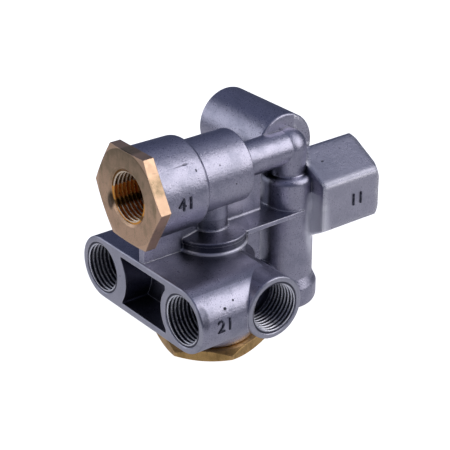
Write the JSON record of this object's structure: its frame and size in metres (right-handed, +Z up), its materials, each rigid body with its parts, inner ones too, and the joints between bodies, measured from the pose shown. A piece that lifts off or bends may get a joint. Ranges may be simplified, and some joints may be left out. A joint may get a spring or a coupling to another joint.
{
  "type": "parking brake control valve",
  "caption": "Compact air brake valve: a die-cast body with a threaded brass control port, a reservoir port, delivery ports on a low manifold and a brass cap nut underneath.",
  "frame": {"origin": "on the control port's axis, where its thread starts behind the countersunk mouth", "axes": "+X along the control port's axis into the valve, towards the reservoir port; +Y the way the protection cylinder points; +Z up, away from the bottom cap nut"},
  "size_m": [0.0899, 0.065, 0.0735],
  "materials": {
    "casting": "satin",
    "brass": "machined",
    "bronze": "sintered",
    "turned_aluminium": "turned",
    "steel": "plain",
    "rubber": "matte"
  },
  "bodies": {
    "valve": {"valve_body": "casting", "control_port_nut": "brass", "control_nut_seal": "rubber", "control_filter": "bronze", "protection_cap": "turned_aluminium", "protection_cap_seal": "rubber", "protection_cap_ring": "steel", "column_plug": "turned_aluminium", "column_plug_seal": "rubber", "column_plug_ring": "steel", "relay_cage": "brass", "relay_cage_upper_seal": "rubber", "relay_cage_lower_seal": "rubber", "bottom_cap_nut": "brass", "bottom_nut_seal": "rubber", "exhaust_flap": "rubber", "exhaust_flap_washer": "steel", "exhaust_flap_screw": "steel", "protection_spring": "steel", "check_valve_spring": "steel", "relay_piston_spring": "steel", "inlet_valve_spring": "steel"},
    "protection": {"protection_piston": "turned_aluminium", "protection_piston_seal": "rubber", "protection_disc": "rubber"},
    "check": {"check_valve": "brass", "check_valve_rubber": "rubber"},
    "relay": {"relay_piston": "turned_aluminium", "relay_piston_seal": "rubber"},
    "inlet": {"inlet_valve": "brass", "inlet_valve_rubber": "rubber"}
  },
  "joints": [
    {"name": "protection_piston_slide", "type": "slide", "parent": "valve", "child": "protection", "axis": [0, 1, 0], "range_m": [0, 0.003], "stiffness_N_per_m": 4000, "springref_m": -0.003, "deforming": ["protection_spring"]},
    {"name": "check_valve_slide", "type": "slide", "parent": "valve", "child": "check", "axis": [0, 0, -1], "range_m": [0, 0.0025], "stiffness_N_per_m": 400, "springref_m": -0.003, "deforming": ["check_valve_spring"]},
    {"name": "relay_piston_slide", "type": "slide", "parent": "valve", "child": "relay", "axis": [0, 0, -1], "range_m": [0, 0.0018], "stiffness_N_per_m": 500, "springref_m": -0.004, "deforming": ["relay_piston_spring"]},
    {"name": "inlet_valve_slide", "type": "slide", "parent": "valve", "child": "inlet", "axis": [0, 0, -1], "range_m": [0, 0.0015], "stiffness_N_per_m": 1500, "springref_m": -0.003, "deforming": ["inlet_valve_spring"]}
  ]
}
